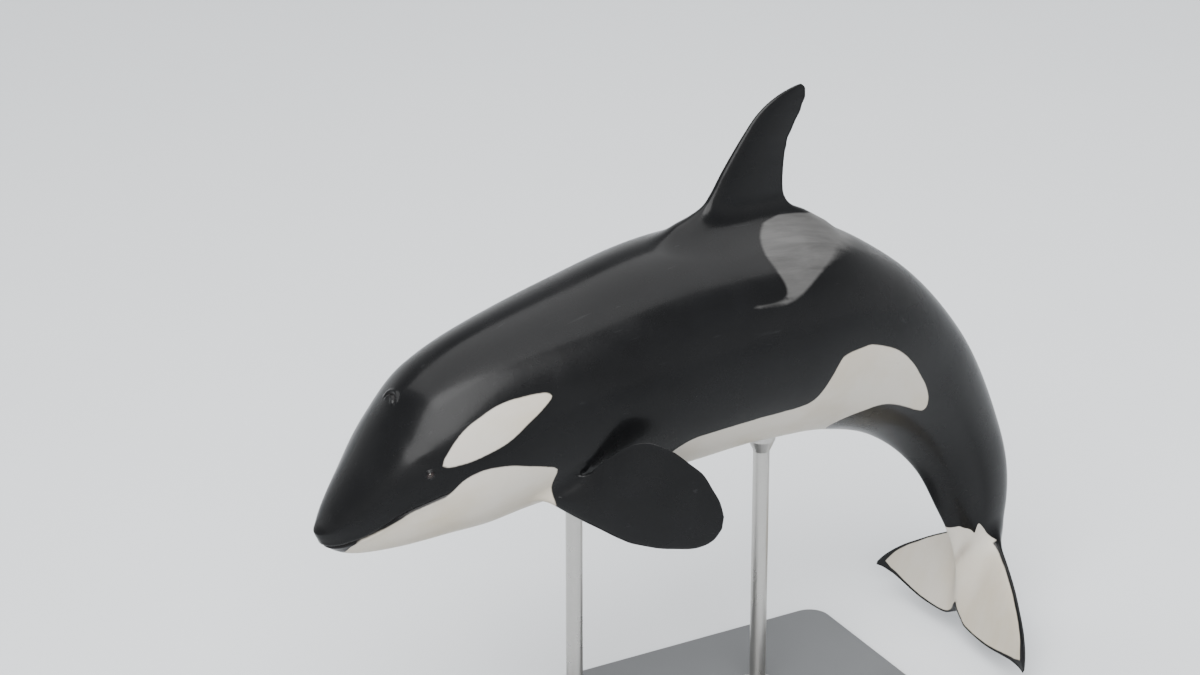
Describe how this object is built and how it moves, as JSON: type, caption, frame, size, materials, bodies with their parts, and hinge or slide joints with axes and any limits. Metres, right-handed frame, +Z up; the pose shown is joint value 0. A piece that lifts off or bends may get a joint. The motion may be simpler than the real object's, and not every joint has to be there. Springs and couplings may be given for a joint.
{
  "type": "orca model on a display stand",
  "caption": "Life-size leaping orca, nose down and tail curled under, with dorsal fin, flippers and flukes, held over a flat base by upright rods.",
  "frame": {"origin": "middle of the underside of the stand's base", "axes": "+Z up; the animal faces -X, its tail is towards +X, and its left side is -Y"},
  "size_m": [4.2715, 1.7488, 3.56],
  "materials": {
    "hide": "wet-look black hide with cream and grey patches",
    "fluke_hide": "cream underside with a black margin, black above",
    "eye": "polished dark brown",
    "stand": "satin grey paint"
  },
  "bodies": {
    "root": {"head": "hide", "torso": "hide", "tail_stock": "hide", "dorsal_fin": "hide", "flipper_left": "hide", "flipper_right": "hide", "fluke_left": "fluke_hide", "fluke_right": "fluke_hide", "eye_left": "eye", "eye_right": "eye", "stand_base": "stand", "stand_rod_front": "stand", "stand_rod_rear": "stand"}
  },
  "joints": []
}
